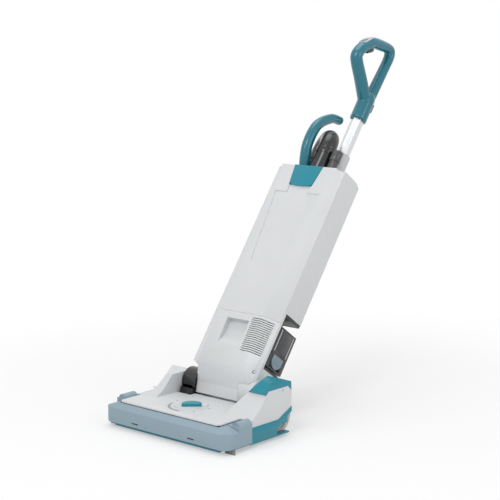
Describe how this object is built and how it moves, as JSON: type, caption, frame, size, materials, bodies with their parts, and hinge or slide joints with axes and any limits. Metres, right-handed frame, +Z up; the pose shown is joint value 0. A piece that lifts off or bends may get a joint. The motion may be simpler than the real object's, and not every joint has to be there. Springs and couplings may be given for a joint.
{
  "type": "upright vacuum cleaner",
  "caption": "Cordless commercial upright vacuum cleaner: wide brush head on wheels, reclining bag housing with battery bays, carry handle, telescopic pole and loop grip.",
  "frame": {"origin": "on the floor under the centre of the whole cleaner in its pictured pose", "axes": "+X along the head to the cleaner's right as seen from its front, -Y the way the bumper faces, +Z up"},
  "size_m": [0.3556, 0.7821, 0.8145],
  "materials": {
    "teal_metal": "satin",
    "teal_plastic": "satin",
    "dark_teal_plastic": "satin",
    "white_plastic": "satin",
    "bumper_plastic": "matte",
    "grey_rubber": "matte",
    "black_plastic": "satin",
    "hose_plastic": "satin",
    "tube_plastic": "satin",
    "grey_plastic": "satin",
    "button_plastic": "satin",
    "bristle_plastic": "matte",
    "wheel_plastic": "matte",
    "steel_plate": "satin",
    "motor_metal": "satin",
    "fan_metal": "satin",
    "pole_aluminium": "satin",
    "belt_rubber": "matte",
    "filter_paper": "matte",
    "bag_fabric": "matte",
    "collar_card": "matte",
    "board_plastic": "satin"
  },
  "bodies": {
    "head": {"head_base": "teal_metal", "base_plate": "steel_plate", "head_cover": "white_plastic", "bumper": "bumper_plastic", "side_cap": "teal_plastic", "edge_brushes": "grey_rubber", "swivel_duct": "black_plastic", "brush_motor": "motor_metal", "drive_belt": "belt_rubber", "roller_bearings": "grey_plastic", "dial_ring": "white_plastic", "rear_axles": "steel_plate", "pivot_bushes": "grey_plastic", "head_screw": "steel_plate"},
    "motor_shaft": {"motor_pulley": "motor_metal"},
    "roller": {"brush_roller": "motor_metal", "brush_bristles": "bristle_plastic"},
    "dial": {"height_dial": "teal_plastic"},
    "carriage": {"front_carriage": "steel_plate"},
    "front_wheel_pair": {"front_wheels": "wheel_plastic"},
    "wheel_left": {"rear_wheel_left": "wheel_plastic"},
    "wheel_right": {"rear_wheel_right": "wheel_plastic"},
    "pedal": {"recline_pedal": "teal_plastic"},
    "upper": {"rear_shell": "white_plastic", "top_plate": "white_plastic", "pivot_pins": "steel_plate", "hose_knuckle": "black_plastic", "ribbed_hose": "hose_plastic", "hose_elbow": "black_plastic", "inlet_cuff": "black_plastic", "tool_holder": "black_plastic", "carry_handle": "dark_teal_plastic", "pole_sleeve": "grey_plastic", "battery_bays": "black_plastic", "suction_motor": "motor_metal", "motor_mounts": "belt_rubber", "motor_filter": "filter_paper", "exhaust_filter": "filter_paper", "dust_bag": "bag_fabric", "bag_collar": "collar_card", "control_board": "board_plastic"},
    "cover": {"lower_cover": "white_plastic", "body_screws": "steel_plate"},
    "door": {"bag_door": "white_plastic"},
    "latch": {"door_latch": "teal_plastic"},
    "pack_left": {"battery_left": "black_plastic"},
    "pack_right": {"battery_right": "black_plastic"},
    "release_left": {"pack_button_left": "button_plastic"},
    "release_right": {"pack_button_right": "button_plastic"},
    "fan": {"motor_fan": "fan_metal"},
    "tool": {"tool_tube": "tube_plastic"},
    "handle": {"pole_tube": "pole_aluminium", "grip_left": "dark_teal_plastic", "grip_right": "dark_teal_plastic", "switch_panel": "white_plastic"},
    "power": {"power_button": "white_plastic"},
    "mode": {"mode_button": "button_plastic"},
    "finger_trigger": {"trigger": "black_plastic"},
    "pole_lock": {"tube_lock": "dark_teal_plastic"}
  },
  "joints": [
    {"name": "recline", "type": "hinge", "parent": "head", "child": "upper", "pos_m": [0, -0.2011, 0.076], "axis": [-1, 0, 0], "range_deg": [-36, 30]},
    {"name": "roller_spin", "type": "hinge", "parent": "head", "child": "roller", "pos_m": [0, -0.3501, 0.026], "axis": [1, 0, 0], "continuous": true},
    {"name": "motor_spin", "type": "hinge", "parent": "head", "child": "motor_shaft", "pos_m": [0, -0.2691, 0.033], "axis": [1, 0, 0], "continuous": true},
    {"name": "dial_turn", "type": "hinge", "parent": "head", "child": "dial", "pos_m": [0, -0.3111, 0.057], "axis": [0, 0, 1], "range_deg": [0, 120]},
    {"name": "height_travel", "type": "slide", "parent": "head", "child": "carriage", "axis": [0, 0, -1], "range_m": [0, 0.006]},
    {"name": "front_wheel_spin", "type": "hinge", "parent": "carriage", "child": "front_wheel_pair", "pos_m": [0, -0.3051, 0.012], "axis": [1, 0, 0], "continuous": true},
    {"name": "rear_wheel_left_spin", "type": "hinge", "parent": "head", "child": "wheel_left", "pos_m": [-0.15, -0.2011, 0.04], "axis": [1, 0, 0], "continuous": true},
    {"name": "rear_wheel_right_spin", "type": "hinge", "parent": "head", "child": "wheel_right", "pos_m": [0.15, -0.2011, 0.04], "axis": [1, 0, 0], "continuous": true},
    {"name": "pedal_press", "type": "hinge", "parent": "head", "child": "pedal", "pos_m": [0.11, -0.1931, 0.0895], "axis": [1, 0, 0], "range_deg": [-8, 0], "stiffness_Nm_per_rad": 1.2, "springref_deg": 6.88},
    {"name": "cover_hinge", "type": "hinge", "parent": "upper", "child": "cover", "pos_m": [0, -0.22727, 0.0604], "axis": [1, 0, 0], "range_deg": [0, 25]},
    {"name": "door_hinge", "type": "hinge", "parent": "upper", "child": "door", "pos_m": [0, -0.14793, 0.23119], "axis": [1, 0, 0], "range_deg": [0, 80]},
    {"name": "latch_flip", "type": "hinge", "parent": "door", "child": "latch", "pos_m": [0, 0.08181, 0.53175], "axis": [-1, 0, 0], "range_deg": [0, 35], "stiffness_Nm_per_rad": 0.03, "springref_deg": -17.19},
    {"name": "pack_left_out", "type": "slide", "parent": "upper", "child": "pack_left", "axis": [-1, 0, 0], "range_m": [0, 0.07]},
    {"name": "release_left_press", "type": "slide", "parent": "pack_left", "child": "release_left", "axis": [1, 0, 0], "range_m": [0, 0.0015], "stiffness_N_per_m": 900, "springref_m": -0.001},
    {"name": "pack_right_out", "type": "slide", "parent": "upper", "child": "pack_right", "axis": [1, 0, 0], "range_m": [0, 0.07]},
    {"name": "release_right_press", "type": "slide", "parent": "pack_right", "child": "release_right", "axis": [-1, 0, 0], "range_m": [0, 0.0015], "stiffness_N_per_m": 900, "springref_m": -0.001},
    {"name": "fan_spin", "type": "hinge", "parent": "upper", "child": "fan", "pos_m": [0.011, -0.15584, 0.12469], "axis": [0, 0.5878, 0.809], "continuous": true},
    {"name": "tool_lift", "type": "slide", "parent": "upper", "child": "tool", "axis": [0, 0.5878, 0.809], "range_m": [0, 0.16]},
    {"name": "pole_slide", "type": "slide", "parent": "upper", "child": "handle", "axis": [0, 0.5878, 0.809], "range_m": [-0.09, 0.14]},
    {"name": "power_press", "type": "slide", "parent": "handle", "child": "power", "axis": [0, 0.3036, -0.9528], "range_m": [0, 0.0012], "stiffness_N_per_m": 800, "springref_m": -0.001},
    {"name": "mode_press", "type": "slide", "parent": "handle", "child": "mode", "axis": [0, 0.3036, -0.9528], "range_m": [0, 0.0012], "stiffness_N_per_m": 800, "springref_m": -0.001},
    {"name": "trigger_pull", "type": "hinge", "parent": "handle", "child": "finger_trigger", "pos_m": [0, 0.31176, 0.7886], "axis": [1, 0, 0], "range_deg": [-5, 0], "stiffness_Nm_per_rad": 0.4, "springref_deg": 5.73},
    {"name": "pole_lock_press", "type": "slide", "parent": "handle", "child": "pole_lock", "axis": [0, -0.809, 0.5878], "range_m": [0, 0.0018], "stiffness_N_per_m": 900, "springref_m": -0.001}
  ],
  "couplings": [
    {"joint": "motor_spin", "follows": "roller_spin", "ratio": 1.75},
    {"joint": "dial_turn", "follows": "height_travel", "rad_per_m": 349.06}
  ]
}
